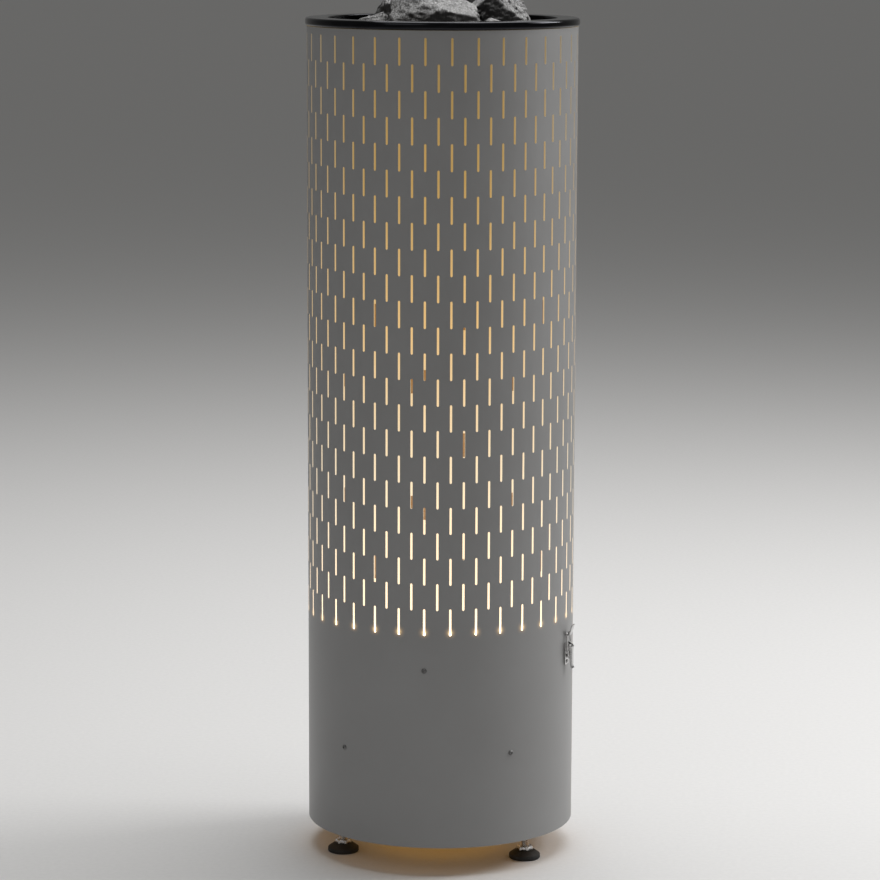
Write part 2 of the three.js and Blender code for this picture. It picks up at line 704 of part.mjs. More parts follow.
// Overheat cut-out on the cover with a reset button that comes out below
const cutoutBody = block(
  buttonX - CUTOUT_SIZE / 2,
  buttonX + CUTOUT_SIZE / 2,
  buttonY - CUTOUT_SIZE / 2,
  buttonY + CUTOUT_SIZE / 2,
  shelf,
  shelf + CUTOUT_HEIGHT,
);
const buttonTop = shelf + BUTTON_GUIDE;
const boreTop = buttonTop + BUTTON_STROKE + SEAT;
const bore = rod(around(BUTTON_DIAMETER / 2 + PLAY, 10), shelf - SEAT, boreTop, 10);
piece('cutout', cut(cutoutBody, [bore.translate(buttonX, buttonY, 0)]), plastic);
const button = rod(BUTTON_DIAMETER / 2, coverBottom - BUTTON_PROUD, buttonTop, 10);
piece('cutout_button', button.translate(buttonX, buttonY, 0), red);

// Cable gland through the rear wall of the box, with its nut
const flangeStart = boxRear + SEAT;
const flangeEnd = flangeStart + GLAND_FLANGE_LENGTH;
const glandProfile = [
  [GLAND_BORE / 2, boxRear - GLAND_INSIDE],
  [GLAND_DIAMETER / 2, boxRear - GLAND_INSIDE],
  [GLAND_DIAMETER / 2, flangeStart],
  [GLAND_FLANGE / 2, flangeStart],
  [GLAND_FLANGE / 2, flangeEnd],
  [GLAND_DIAMETER / 2, flangeEnd],
  [GLAND_DIAMETER / 2, boxRear + GLAND_LENGTH],
  [GLAND_BORE / 2, boxRear + GLAND_LENGTH],
];
const alongY = (geometry) => geometry.rotateX(-Math.PI / 2).translate(0, 0, glandZ);
piece('cable_gland', alongY(revolve(glandProfile, 12)), plastic);
const glandNutStart = flangeEnd + SEAT;
const glandNut = tube(
  GLAND_FLANGE / 2,
  around(GLAND_DIAMETER / 2 + SEAT, 12),
  glandNutStart,
  glandNutStart + GLAND_NUT_LENGTH,
  12,
);
piece('gland_nut', alongY(glandNut), plastic);

// Draw latch. Outlines are outward and up from the pivot of the lever.
function latchPiece(points, width, holes = []) {
  return sideProfile(points, width, holes).translate(latchPivotOut, 0, latchPivotZ);
}

const pinHole = polygon(0, 0, around(LATCH_PIN_DIAMETER / 2 + PLAY, 10), 10);
const plateIn = plateFront - latchPivotOut;
const plate = radialBlock(
  plateBack,
  plateFront,
  LATCH_PLATE_WIDTH,
  latchPivotZ - LATCH_PLATE_BELOW,
  latchPivotZ + LATCH_PLATE_ABOVE,
  latchAngle,
);
const earOutline = [
  [plateIn - LATCH_PLATE / 2, -LATCH_PLATE_ABOVE],
  [plateIn, -LATCH_PLATE_ABOVE],
  [EAR_REACH / 2, -EAR_REACH],
  [EAR_REACH, -EAR_REACH / 2],
  [EAR_REACH, EAR_REACH / 2],
  [EAR_REACH / 2, EAR_REACH],
  [plateIn, LATCH_PLATE_ABOVE],
  [plateIn - LATCH_PLATE / 2, LATCH_PLATE_ABOVE],
];
const earMiddle = LEVER_WIDTH / 2 + EAR_GAP + EAR_WALL / 2;
const ears = [-1, 1].map((side) =>
  turned(latchPiece(earOutline, EAR_WALL, [pinHole]).translate(0, side * earMiddle, 0), latchAngle),
);
const plateHoles = rivetHeights.map((z) =>
  radialRod(around(rivetHole, 8), plateBack - LATCH_PLATE, plateFront + LATCH_PLATE, z, latchAngle),
);
piece('latch_base', cut(join([plate, ...ears]), plateHoles), steel);

const leverBack = LEVER_BOSS - LEVER_THICKNESS;
const leverOutline = [
  ...[0, 45, 90, 135, 180].map((degrees) => {
    const angle = (degrees * Math.PI) / 180;
    return [LEVER_BOSS * Math.cos(angle), LEVER_BOSS * Math.sin(angle)];
  }),
  [leverBack, leverBack],
  [leverBack, -LEVER_BLOCK],
  [LEVER_BOSS - LEVER_BLADE, -LEVER_BLOCK - LEVER_BLADE],
  [LEVER_BOSS - LEVER_BLADE, LEVER_TIP_HEIGHT - LEVER_LENGTH],
  [LEVER_BOSS, -LEVER_LENGTH],
  [LEVER_BOSS + LEVER_TIP_OUT, LEVER_TIP_RISE - LEVER_LENGTH],
  [LEVER_BOSS, LEVER_TIP_HEIGHT - LEVER_LENGTH],
];
const bailHole = polygon(-LATCH_ARM_IN, -LATCH_ARM, around(BAIL_WIRE / 2 + PLAY, 8), 8);
const lever = latchPiece(leverOutline, LEVER_WIDTH, [pinHole, bailHole]);
piece('latch_lever', turned(lever, latchAngle), steel);

const pinReach = earMiddle + EAR_WALL / 2 + PLAY;
const pin = rod(LATCH_PIN_DIAMETER / 2, -pinReach, pinReach, 10)
  .rotateX(-Math.PI / 2)
  .translate(latchPivotOut, 0, latchPivotZ);
piece('latch_pin', turned(pin, latchAngle), steel);

// Bail: wire from one side of the lever up round the keeper and down to the other side
const bailFoot = new THREE.Vector3(latchPivotOut - LATCH_ARM_IN, 0, latchPivotZ - LATCH_ARM);
const bailHead = new THREE.Vector3(facetOuter + BAIL_OUT, 0, keeperTop + SEAT + BAIL_WIRE / 2);
const bailWay = bailHead.clone().sub(bailFoot).normalize();
const bailHalf = (side) => [
  bailFoot.clone().setY(side * (LEVER_WIDTH / 2 - BAIL_GRIP)),
  bailFoot.clone().setY(side * (BAIL_WIDTH / 2 - BAIL_FOOT_BEND)),
  bailFoot.clone().addScaledVector(bailWay, BAIL_FOOT_BEND).setY((side * BAIL_WIDTH) / 2),
  bailHead.clone().addScaledVector(bailWay, -BAIL_HEAD_BEND).setY((side * BAIL_WIDTH) / 2),
  bailHead.clone().setY(side * (BAIL_WIDTH / 2 - BAIL_HEAD_BEND)),
];
const bail = wire([...bailHalf(-1), ...bailHalf(1).reverse()], BAIL_WIRE / 2, 6);
piece('latch_bail', turned(bail, latchAngle), steel);

// Keeper: strip under the deck arm that passes through the casing and turns up into a leaning lip
const keeperFoot = keeperTop - KEEPER_PLATE;
const keeperBend = facetOuter + KEEPER_OUT;
const keeperOutline = [
  [armRoot, keeperFoot],
  [keeperBend, keeperFoot],
  [keeperBend + KEEPER_LEAN, keeperTop + KEEPER_LIP],
  [keeperBend + KEEPER_LEAN - KEEPER_PLATE, keeperTop + KEEPER_LIP],
  [keeperBend - KEEPER_CORNER, keeperTop],
  [armRoot, keeperTop],
];
piece('latch_keeper', turned(sideProfile(keeperOutline, KEEPER_WIDTH), latchAngle), steel);

const rivetProfile = [
  [0, facetInner - RIVET_TAIL],
  [RIVET_DIAMETER / 2, facetInner - RIVET_TAIL],
  [RIVET_DIAMETER / 2, plateFront + SEAT],
  [RIVET_HEAD_DIAMETER / 2, plateFront + SEAT],
  [RIVET_HEAD_DIAMETER / 3, plateFront + SEAT + RIVET_HEAD_HEIGHT],
  [0, plateFront + SEAT + RIVET_HEAD_HEIGHT],
];
rivetHeights.forEach((z, i) => {
  const rivet = revolve(rivetProfile, 8).rotateY(Math.PI / 2).translate(0, 0, z);
  piece(`latch_rivet_${i + 1}`, turned(rivet, latchAngle), steel);
});

// Stone filling: one rough column with a channel for each heating element
const fillRadius = jacketInner * Math.cos(Math.PI / jacketFacets) - FILL_GAP;
const fillOutline = Array.from({ length: FILL_CORNERS }, (_, i) => {
  const angle = (2 * Math.PI * i) / FILL_CORNERS;
  const r = fillRadius - FILL_ROUGHNESS * scatter(i, 1);
  return [r * Math.cos(angle), r * Math.sin(angle)];
});
const channelLength = ELEMENT_SPAN + COLLAR_DIAMETER + 2 * CHANNEL_PLAY;
const channelWidth = COLLAR_DIAMETER + 2 * CHANNEL_PLAY;
const channels = elementRows.map((y) =>
  rectangle(channelLength, channelWidth).map(([px, py]) => [px, py + y]),
);
piece('stone_fill', prism(fillOutline, deckTop + SEAT, fillTop, channels), rock);

// Top stones: each is a block split from its neighbours by planes and chipped to a rough round
const openingRadius = ringInner * Math.cos(Math.PI / SLOT_COLUMNS) - STONE_WALL_GAP;
const wallReach = openingRadius * Math.cos(Math.PI / FILL_CORNERS);
const stones = STONES.map((s) => ({
  middle: new THREE.Vector3(s.x * openingRadius, s.y * openingRadius, fillTop + s.up),
  wide: s.wide,
  tall: s.tall,
}));

function keepSide(solid, normal, point) {
  return solid.trimByPlane(normal.toArray(), normal.dot(point));
}

function topStone(stone, index) {
  const { middle, wide, tall } = stone;
  const [low, high] = [middle.clone().subScalar(2 * wide), middle.clone().addScalar(2 * wide)];
  let body = solidOf(block(low.x, high.x, low.y, high.y, low.z, high.z));
  for (const other of stones) {
    if (other === stone) continue;
    const way = middle.clone().sub(other.middle);
    const normal = way.clone().normalize();
    const split = other.middle.clone().addScaledVector(way, other.tall / (other.tall + tall));
    body = keepSide(body, normal, split.addScaledVector(normal, STONE_GAP / 2));
  }
  for (let k = 0; k < STONE_FACETS; k += 1) {
    const z = 1 - (2 * k + 1) / STONE_FACETS;
    const turn = k * STONE_SPIRAL + index * STONE_TURN;
    const flat = Math.sqrt(1 - z * z);
    const way = new THREE.Vector3(flat * Math.cos(turn), flat * Math.sin(turn), z);
    const reach = Math.hypot(way.x * wide, way.y * wide, way.z * tall);
    const chip = 1 - STONE_CHIP * scatter(index, k);
    body = keepSide(body, way.clone().negate(), middle.clone().addScaledVector(way, reach * chip));
  }
  for (let k = 0; k < FILL_CORNERS; k += 1) {
    const angle = (2 * Math.PI * k) / FILL_CORNERS;
    const inward = new THREE.Vector3(-Math.cos(angle), -Math.sin(angle), 0);
    body = keepSide(body, inward, inward.clone().multiplyScalar(-wallReach));
  }
  const seat = new THREE.Vector3(0, 0, fillTop + SEAT);
  return geometryOf(keepSide(body, new THREE.Vector3(0, 0, 1), seat));
}

stones.forEach((stone, i) => piece(`stone_${i + 1}`, topStone(stone, i), rock));

export default heater;
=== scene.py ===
"""Sauna heater: finished surfaces, materials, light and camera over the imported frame. Metres, Z up."""

import json
import math

import bmesh
import bpy
import numpy as np
from mathutils import Matrix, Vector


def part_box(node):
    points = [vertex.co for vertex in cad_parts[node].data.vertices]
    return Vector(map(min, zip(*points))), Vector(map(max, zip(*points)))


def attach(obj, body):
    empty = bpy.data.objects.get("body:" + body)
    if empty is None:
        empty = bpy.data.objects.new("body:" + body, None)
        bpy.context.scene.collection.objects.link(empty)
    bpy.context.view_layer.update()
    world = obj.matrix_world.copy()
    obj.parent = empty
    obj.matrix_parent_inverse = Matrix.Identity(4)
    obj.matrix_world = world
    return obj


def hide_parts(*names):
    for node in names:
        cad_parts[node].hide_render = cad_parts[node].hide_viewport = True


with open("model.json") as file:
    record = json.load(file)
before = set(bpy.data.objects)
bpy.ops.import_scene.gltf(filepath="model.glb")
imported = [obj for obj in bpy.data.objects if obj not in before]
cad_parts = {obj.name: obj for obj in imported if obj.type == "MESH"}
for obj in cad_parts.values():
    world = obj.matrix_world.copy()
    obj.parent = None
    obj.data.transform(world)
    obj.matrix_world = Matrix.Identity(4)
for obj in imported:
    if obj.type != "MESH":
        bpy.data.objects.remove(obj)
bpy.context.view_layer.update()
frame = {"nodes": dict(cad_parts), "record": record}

MM = 0.001
TAU = 2 * math.pi

# Sizes of the casing and its slots, as in the solids
CASING_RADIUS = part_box("casing_front")[1][0]
CASING_WALL = 1.5 * MM
CASING_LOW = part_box("casing_front")[0][2]
CASING_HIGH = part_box("casing_front")[1][2]
SEAM_GAP = 0.6 * MM
SLOT_COLUMNS = 33
SLOT_ROWS = 23
SLOT_LENGTH = 32 * MM
SLOT_WIDTH = 2.6 * MM
ROW_PITCH = 30 * MM
SLOT_TOP_MARGIN = 8 * MM
COLUMN_ANGLE = math.pi / SLOT_COLUMNS
FIRST_ROW = CASING_HIGH - SLOT_TOP_MARGIN - SLOT_LENGTH / 2
LAST_ROW = FIRST_ROW - (SLOT_ROWS - 1) * ROW_PITCH
LATCH_ANGLE = 14 * COLUMN_ANGLE
SCREW_ANGLE = 7 * COLUMN_ANGLE
FACET_OUTER = CASING_RADIUS * math.cos(COLUMN_ANGLE / 2)
SLOTS_END = LAST_ROW - SLOT_LENGTH / 2
JOINTS = {joint["name"]: joint for joint in frame["record"]["behaviour"]["joints"]}

# Camera, worked out from the lattice of slots in the photograph, with no shift
PHOTO_SIZE = 880
CAMERA_AZIMUTH = math.radians(6.914)
CAMERA_DISTANCE = 3.948
CAMERA_HEIGHT = 1.1364
CAMERA_PITCH = math.radians(9.22)
CAMERA_YAW = math.radians(0.022)
CAMERA_ROLL = math.radians(0.177)
CAMERA_FOCAL_PX = 3330
SENSOR_MM = 36

# Even light all round, and the floor, whose far parts show that light times their tone
WORLD_COLOUR = (0.62, 0.62, 0.61, 1)
WORLD_LIGHT = 0.36
FLOOR_TONE = 0.615

FLOOR_GRAIN = 0.015
FLOOR_REACH = 120

# Lamps: name, place, size in metres, watts
LAMPS = (
    ("overhead", (0.3, 0.9, 3.6), 3.2, 120),
    ("key", (2.6, 0.9, 2.2), 1.4, 60),
    ("front", (-1.6, -3.4, 2.4), 2.4, 12),
)
LAMP_AIM = (0, 0, 0.55)

# Feet: half width of the hexagons across their flats, heights of collar, stud and lock nut, bore of the nut
HEX_FLAT = 8.5 * MM
COLLAR_LOW = 10.3 * MM
COLLAR_HIGH = 15.3 * MM
STUD_TOP = 66.3 * MM
NUT_LOW = 32.7 * MM
NUT_HIGH = 39.7 * MM
NUT_BORE = 5.5 * MM

# Stones, and those whose broken faces are pale
STONE_COUNT = 12
STONE_SEED = 100
PALE_STONES = (8, 9, 10)

# Painted glare round the foot of each slot of the last row
HALO_REACH = 9 * MM
HALO_RISE = 4 * MM


# Meshes


def grid_faces(rows, columns, wrap_rows=False, wrap_columns=False):
    """Quads between neighbouring points of a grid, numbered row by row."""
    index = np.arange(rows * columns).reshape(rows, columns)
    if wrap_rows:
        index = np.vstack([index, index[:1]])
    if wrap_columns:
        index = np.hstack([index, index[:, :1]])
    corners = [index[:-1, :-1], index[1:, :-1], index[1:, 1:], index[:-1, 1:]]
    return np.stack(corners, axis=-1).reshape(-1, 4)


def ring_band(count):
    """Quads between a closed ring of points and the next ring."""
    ring = np.arange(count)
    after = np.roll(ring, -1)
    return np.stack([ring, after, after + count, ring + count], axis=-1)


def end_caps(total, sides):
    """Flat faces over the first and the last of several rings, total points in all."""
    return [list(range(sides)), list(range(total - 1, total - sides - 1, -1))]


def full_turn(steps):
    """Equal angles once round."""
    return np.arange(steps) * TAU / steps


def hexagon_radius(flat, angle):
    """Distance to the edge of a hexagon at each angle, flat being the distance to its sides."""
    return flat / np.cos((angle + TAU / 12) % (TAU / 6) - TAU / 12)


def joined(parts):
    """Several (points, faces) pairs as one pair."""
    points, faces, start = [], [], 0
    for part_points, part_faces in parts:
        points.append(part_points)
        faces += [[int(i) + start for i in face] for face in part_faces]
        start += len(part_points)
    return np.vstack(points), faces


def add_piece(name, parts, finish, nodes=(), body="heater", sharp=35, bevel=0):
    """One mesh object from (points, faces) pairs: doubles merged, faces outwards, sharp edges kept."""
    points, faces = joined(parts)
    mesh = bpy.data.meshes.new(name)
    mesh.from_pydata(points.tolist(), [], faces)
    work = bmesh.new()
    work.from_mesh(mesh)
    bmesh.ops.remove_doubles(work, verts=work.verts, dist=1e-6)
    bmesh.ops.recalc_face_normals(work, faces=work.faces)
    work.to_mesh(mesh)
    work.free()
    mesh.shade_smooth()
    mesh.set_sharp_from_angle(angle=math.radians(sharp))
    mesh.materials.append(finish)
    piece = bpy.data.objects.new(name, mesh)
    bpy.context.scene.collection.objects.link(piece)
    if bevel:
        edge = piece.modifiers.new("edge", "BEVEL")
        edge.width = bevel
        edge.segments = 2
        edge.limit_method = "ANGLE"
        edge.angle_limit = math.radians(30)
    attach(piece, body)
    if nodes:
        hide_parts(*nodes)
    return piece


def around_axis(radius, angle, z):
    """Points at an angle from the front towards +X."""
    radius, angle, z = np.broadcast_arrays(radius, angle, z)
    return np.stack([radius * np.sin(angle), -radius * np.cos(angle), z], axis=-1)


def turned(profile, steps, place=Matrix()):
    """A profile of (radius, height) carried round the Z axis, then moved by a matrix."""
    profile = np.asarray(profile, float)
    angle = full_turn(steps)
    points = around_axis(profile[None, :, 0], angle[:, None], profile[None, :, 1])
    faces = grid_faces(steps, len(profile), wrap_rows=True)
    return moved(points.reshape(-1, 3), place), faces


def moved(points, place):
    """Points moved by a matrix."""
    turn = np.array(place)
    return points @ turn[:3, :3].T + turn[:3, 3]


def outward_place(angle, radius, z):
    """Matrix that takes +X outwards at an angle from the front, at a radius and height."""
    turn = Matrix.Rotation(angle - math.pi / 2, 4, "Z")
    return turn @ Matrix.Translation((radius, 0, z))


def axis_outward(angle, radius, z):
    """Matrix that takes +Z outwards at an angle from the front, at a radius and height."""
    return outward_place(angle, radius, z) @ Matrix.Rotation(math.pi / 2, 4, "Y")


def arc(x, y, radius, start, end, steps):
    """Points on a circle, angles in degrees."""
    angle = np.radians(np.linspace(start, end, steps))
    return np.stack([x + radius * np.cos(angle), y + radius * np.sin(angle)], axis=-1)


def slab(outline, width, place):
    """An outline, outwards and up, given a width across and moved by a matrix."""
    outline = np.asarray(outline, float)
    count = len(outline)
    sides = [
        np.stack([outline[:, 0], np.full(count, y), outline[:, 1]], axis=-1)
        for y in (-width / 2, width / 2)
    ]
    faces = ring_band(count).tolist() + end_caps(2 * count, count)
    return moved(np.vstack(sides), place), faces


def wire(path, radius, sides, place=Matrix()):
    """A round wire along a path, its rings square to the path, with flat ends."""
    path = np.asarray(path, float)
    way = np.gradient(path, axis=0)
    way /= np.linalg.norm(way, axis=1)[:, None]
    side = np.cross(way[0], (0.31, 0.27, 0.91))
    turn = full_turn(sides)[:, None]
    rings = []
    for centre, along in zip(path, way):
        side = side - along * side.dot(along)
        side /= np.linalg.norm(side)
        up = np.cross(along, side)
        rings.append(centre + radius * (np.cos(turn) * side + np.sin(turn) * up))
    points = np.vstack(rings)
    faces = grid_faces(len(path), sides, wrap_columns=True).tolist()
    return moved(points, place), faces + end_caps(len(points), sides)


def rounded_path(corners, radius, steps=6):
    """A line through corners, each inner corner replaced by a curve that starts and ends radius away."""
    corners = [np.asarray(c, float) for c in corners]
    points = [corners[0]]
    for before, here, after in zip(corners, corners[1:], corners[2:]):
        start = here + (before - here) / np.linalg.norm(before - here) * radius
        end = here + (after - here) / np.linalg.norm(after - here) * radius
        t = np.linspace(0, 1, steps)[:, None]
        points += list((1 - t) ** 2 * start + 2 * t * (1 - t) * here + t**2 * end)
    return np.array(points + [corners[-1]])


# Shader maths


class Value:
    """A number that changes over the surface: using it in an expression adds Math nodes."""

    def __init__(self, nodes, socket):
        self.nodes = nodes
        self.socket = socket

    def __add__(self, other):
        return self.nodes.math("ADD", self, other)

    def __sub__(self, other):
        return self.nodes.math("SUBTRACT", self, other)

    def __mul__(self, other):
        return self.nodes.math("MULTIPLY", self, other)

    def __truediv__(self, other):
        return self.nodes.math("DIVIDE", self, other)

    def __pow__(self, other):
        return self.nodes.math("POWER", self, other)

    def __rsub__(self, other):
        return self.nodes.math("SUBTRACT", other, self)

    __radd__ = __add__
    __rmul__ = __mul__


class Nodes:
    """Nodes of one tree, added by name."""

    def __init__(self, tree):
        self.tree = tree

    def node(self, kind, settings=None, out=0, **sockets):
        """Adds a shader node, sets its settings and its sockets by name or number, and gives one output."""
        made = self.tree.nodes.new("ShaderNode" + kind)
        for key, value in (settings or {}).items():
            if key == "stops":
                self.set_stops(made.color_ramp, value)
            else:
                setattr(made, key, value)
        for key, value in sockets.items():
            entry = made.inputs[int(key) if key.isdigit() else key.replace("_", " ")]
            if isinstance(value, Value):
                self.tree.links.new(value.socket, entry)
            else:
                entry.default_value = value
        return Value(self, made.outputs[out])

    @staticmethod
    def set_stops(ramp, stops):
        """Gives a colour ramp its stops, as positions and colours."""
        while len(ramp.elements) < len(stops):
            ramp.elements.new(1)
        for element, (position, colour) in zip(ramp.elements, stops):
            element.position = position
            element.color = (*colour, 1)

    def math(self, operation, first, second=0.0):
        """One Math node."""
        return self.node("Math", {"operation": operation}, **{"0": first, "1": second})


class Finish(Nodes):
    """One material: a Principled shader with constants set on its sockets and nodes for what changes."""

    def __init__(self, name, **constants):
        self.material = bpy.data.materials.new(name)
        self.material.use_nodes = True
        super().__init__(self.material.node_tree)
        self.shader = self.tree.nodes["Principled BSDF"]
        for socket, value in constants.items():
            self.shader.inputs[socket.replace("_", " ")].default_value = value
        self.place = self.node("TexCoord", out="Object")

    def noise(self, scale, detail=4, rough=0.55, stretch=None):
        """Noise from 0 to 1, scale in repeats to the metre, optionally stretched along the axes."""
        where = self.place
        if stretch:
            where = self.node("Mapping", Vector=where, Scale=stretch)
        return self.node("TexNoise", Vector=where, Scale=scale, Detail=detail, Roughness=rough)

    def cells(self, scale):
        """Distance to the nearest of scattered points, scale in points to the metre."""
        return self.node("TexVoronoi", out="Distance", Vector=self.place, Scale=scale)

    def along(self, axis):
        """One of the X, Y and Z coordinates in metres."""
        return self.node("SeparateXYZ", out=axis, Vector=self.place)

    def upward(self):
        """1 where the surface faces up, 0 where it is upright, below 0 where it faces down."""
        return self.node("SeparateXYZ", out="Z", Vector=self.node("NewGeometry", out="Normal"))

    def outward(self):
        """1 on upright faces that look away from the Z axis, 0 on those that look towards it."""
        normal = self.node("NewGeometry", out="Normal")
        settings = {"operation": "DOT_PRODUCT"}
        facing = self.node("VectorMath", settings, out="Value", **{"0": normal, "1": self.place})
        return self.math("GREATER_THAN", facing, 0.0)

    def ramp(self, value, *stops):
        """A colour for each value, straight between the stops."""
        return self.node("ValToRGB", {"stops": stops}, Fac=value)

    def between(self, value, low, high):
        """A number straight from low to high as value goes from 0 to 1."""
        return value * (high - low) + low

    def mix(self, share, first, second):
        """First colour at 0, second colour at 1."""
        settings = {"data_type": "RGBA"}
        return self.node("Mix", settings, out=2, **{"0": share, "6": first, "7": second})

    def bump(self, height, depth, strength=1.0):
        """Height from 0 to 1 as relief of a depth in metres."""
        return self.node("Bump", Height=height, Distance=depth, Strength=strength)

    def feed(self, **sockets):
        """Links values to the Principled shader's sockets and gives the finished material."""
        for key, value in sockets.items():
            self.tree.links.new(value.socket, self.shader.inputs[key.replace("_", " ")])
        return self.material


def grey(value, warm=0.0):
    """A neutral colour, slightly yellow where warm is above 0."""
    return (value * (1 + warm), value, value * (1 - warm))


def slot_halo(f):
    """1 at the foot of each slot of the last row, 0 at HALO_REACH from it: painted glare of the diode
    behind, given to the paint as emission.
    """
    turn = f.math("ARCTAN2", f.along("X"), f.along("Y") * -1)
    pitch = 2 * COLUMN_ANGLE
    aside = (f.math("FRACT", turn / pitch + 0.5) - 0.5) * (pitch * CASING_RADIUS)
    above = f.along("Z") - (SLOTS_END + HALO_RISE)
    away = f.math("SQRT", aside * aside + above * above)
    return f.math("MAXIMUM", 1 - away / HALO_REACH, 0.0) ** 2


def casing_paint():
    """Satin powder coat: fine orange peel, faint clouds, painted warm glare round the feet of the lowest
    slots as emission.
    """
    f = Finish("casing_paint", Metallic=0.0, Specular_IOR_Level=0.45, Emission_Strength=1.0)
    cloud = f.noise(9, 3)
    grain = f.noise(900, 2)
    tone = f.ramp(cloud, (0.3, grey(0.24, 0.01)), (0.7, grey(0.258, 0.006)))
    rough = f.between(cloud, 0.32, 0.42) + grain * 0.05
    # painted glare: warm emission on the paint round the foot of each lowest slot
    glare = f.ramp(slot_halo(f), (0.0, (0, 0, 0)), (0.25, (0.1, 0.055, 0.015)), (1.0, (0.9, 0.62, 0.25)))
    relief = f.bump(grain, 0.06 * MM, 0.5)
    return f.feed(Base_Color=tone, Roughness=rough, Emission_Color=glare, Normal=relief)


def light_wash(f):
    """Colour of the painted light in the gap by height, given as emission: dim amber below the diodes,
    white above, amber on top.
    """
    rise = (f.along("Z") - CASING_LOW) / (CASING_HIGH - CASING_LOW)
    diodes = (SLOTS_END - CASING_LOW) / (CASING_HIGH - CASING_LOW)
    return f.ramp(
        rise,
        (0.0, (0.3, 0.14, 0.02)),
        (diodes - 0.03, (0.7, 0.36, 0.06)),
        (diodes, (1.3, 1.02, 0.7)),
        (0.46, (0.76, 0.64, 0.45)),
        (0.64, (0.57, 0.39, 0.17)),
        (0.82, (0.31, 0.205, 0.065)),
        (1.0, (0.18, 0.125, 0.04)),
    )


def casing_inside():
    """The casing's inner face and slot edges: the same coat, in a paler tone that is painted light, washed
    by painted light from the gap as emission.
    """
    f = Finish("casing_inside", Emission_Strength=0.75)
    cloud = f.noise(40, 3)
    # paler than the outer coat: painted light
    tone = f.ramp(cloud, (0.3, grey(0.42, 0.03)), (0.7, grey(0.47, 0.02)))
    return f.feed(Base_Color=tone, Roughness=f.between(cloud, 0.5, 0.6), Emission_Color=light_wash(f))


def dark_ring():
    """Dark polished plating with faint wiping marks."""
    f = Finish("dark_ring", Metallic=1.0)
    smear = f.noise(30, 4, 0.6, (1, 1, 6))
    tone = f.ramp(smear, (0.35, (0.018, 0.018, 0.02)), (0.7, (0.03, 0.03, 0.033)))
    return f.feed(Base_Color=tone, Roughness=f.between(smear, 0.05, 0.2))


def near_jacket(f):
    """1 on stone beside the jacket, where painted light of the gap comes in through the holes, 0 further
    in.
    """
    x, y = f.along("X"), f.along("Y")
    return f.ramp(f.math("SQRT", x * x + y * y) / CASING_RADIUS, (0.76, grey(0.0)), (0.8, grey(1.0)))


def rock(name, dusty):
    """Split stone: dark grey with pits, pale and grainy in dusty patches and, as painted top light, on
    faces turned up, more so on dusty stones; painted amber light from the gap beside the jacket, as
    emission.
    """
    f = Finish(name, Specular_IOR_Level=0.3, Emission_Strength=1.0)
    patch = f.noise(26, 5, 0.65)
    grain = f.noise(520, 5, 0.75)
    speck = f.cells(1100)
    # paler on faces turned up and darker on faces turned down: painted top light, mixed with random dusty
    # patches
    dust_and_top_light_cover = f.upward() * 0.45 + patch * 0.7 + dusty
    dust_and_top_light = f.ramp(dust_and_top_light_cover, (0.46, grey(0.0)), (0.74, grey(1.0)))
    dark = f.ramp(patch, (0.3, grey(0.02, 0.02)), (0.7, grey(0.065, 0.02)))
    pale = f.ramp(grain, (0.37, grey(0.08, 0.01)), (0.5, grey(0.26, 0.01)), (0.64, grey(0.58, 0.01)))
    stone = f.mix(dust_and_top_light, dark, pale)
    pitted = f.mix(f.ramp(speck, (0.08, grey(0.75)), (0.28, grey(0.0))), stone, (0.02, 0.02, 0.021, 1))
    relief = f.noise(130, 7, 0.7) * 0.75 + grain * 0.25
    below = f.ramp(f.along("Z") / CASING_HIGH, (0.985, grey(1.0)), (0.995, grey(0.0)))
    # painted amber light from the gap: emission on stone beside the jacket, below the ring
    glow = f.mix(near_jacket(f) * below, (0, 0, 0, 1), (0.12, 0.055, 0.01, 1))
    rough = f.between(grain, 0.7, 1.0)
    relief = f.bump(relief, 3 * MM)
    return f.feed(Base_Color=pitted, Roughness=rough, Emission_Color=glow, Normal=relief)


def lit_rock():
    """The stones behind the jacket's holes: dark rock in painted amber light of the gap, as emission."""
    f = Finish("lit_rock", Specular_IOR_Level=0.2, Emission_Strength=0.45)
    grain = f.noise(200, 5, 0.7)
    tone = f.ramp(grain, (0.3, grey(0.05, 0.03)), (0.7, grey(0.16, 0.03)))
    amber = f.mix(f.ramp(grain, (0.3, grey(0.85)), (0.7, grey(0.5))), light_wash(f), (0.8, 0.31, 0.04, 1))
    glow = f.mix(near_jacket(f), (0, 0, 0, 1), amber)
    rough = f.between(grain, 0.8, 1.0)
    relief = f.bump(grain, 2 * MM, 0.8)
    return f.feed(Base_Color=tone, Roughness=rough, Emission_Color=glow, Normal=relief)


def steel(name, tone, low, high, stretch):
    """Bare metal with fine drawn lines and cloudy gloss."""
    f = Finish(name, Metallic=1.0)
    line = f.noise(700, 3, 0.6, stretch)
    cloud = f.noise(40, 3)
    colour = f.ramp(cloud, (0.3, grey(tone * 0.88, 0.01)), (0.7, grey(tone, 0.01)))
    relief = f.bump(line, 0.02 * MM, 0.4)
    return f.feed(Base_Color=colour, Roughness=f.between(line, low, high), Normal=relief)


def lit_jacket():
    """Stainless jacket whose outside is washed by painted light, as emission: nearly white at the foot,
    amber at the top.
    """
    f = Finish("lit_jacket", Metallic=0.6, Emission_Strength=1.0)
    cloud = f.noise(18, 3)
    # painted light from the gap, as emission on the outward faces only
    wash = f.mix(f.between(cloud, 0.0, 0.3), light_wash(f), (0.3, 0.15, 0.04, 1))
    wash = f.mix(f.outward(), (0, 0, 0, 1), wash)
    line = f.noise(500, 2, 0.5, (1, 1, 0.05))
    tone = f.ramp(cloud, (0.3, grey(0.3, 0.1)), (0.7, grey(0.4, 0.1)))
    return f.feed(Base_Color=tone, Roughness=f.between(line, 0.3, 0.5), Emission_Color=wash)


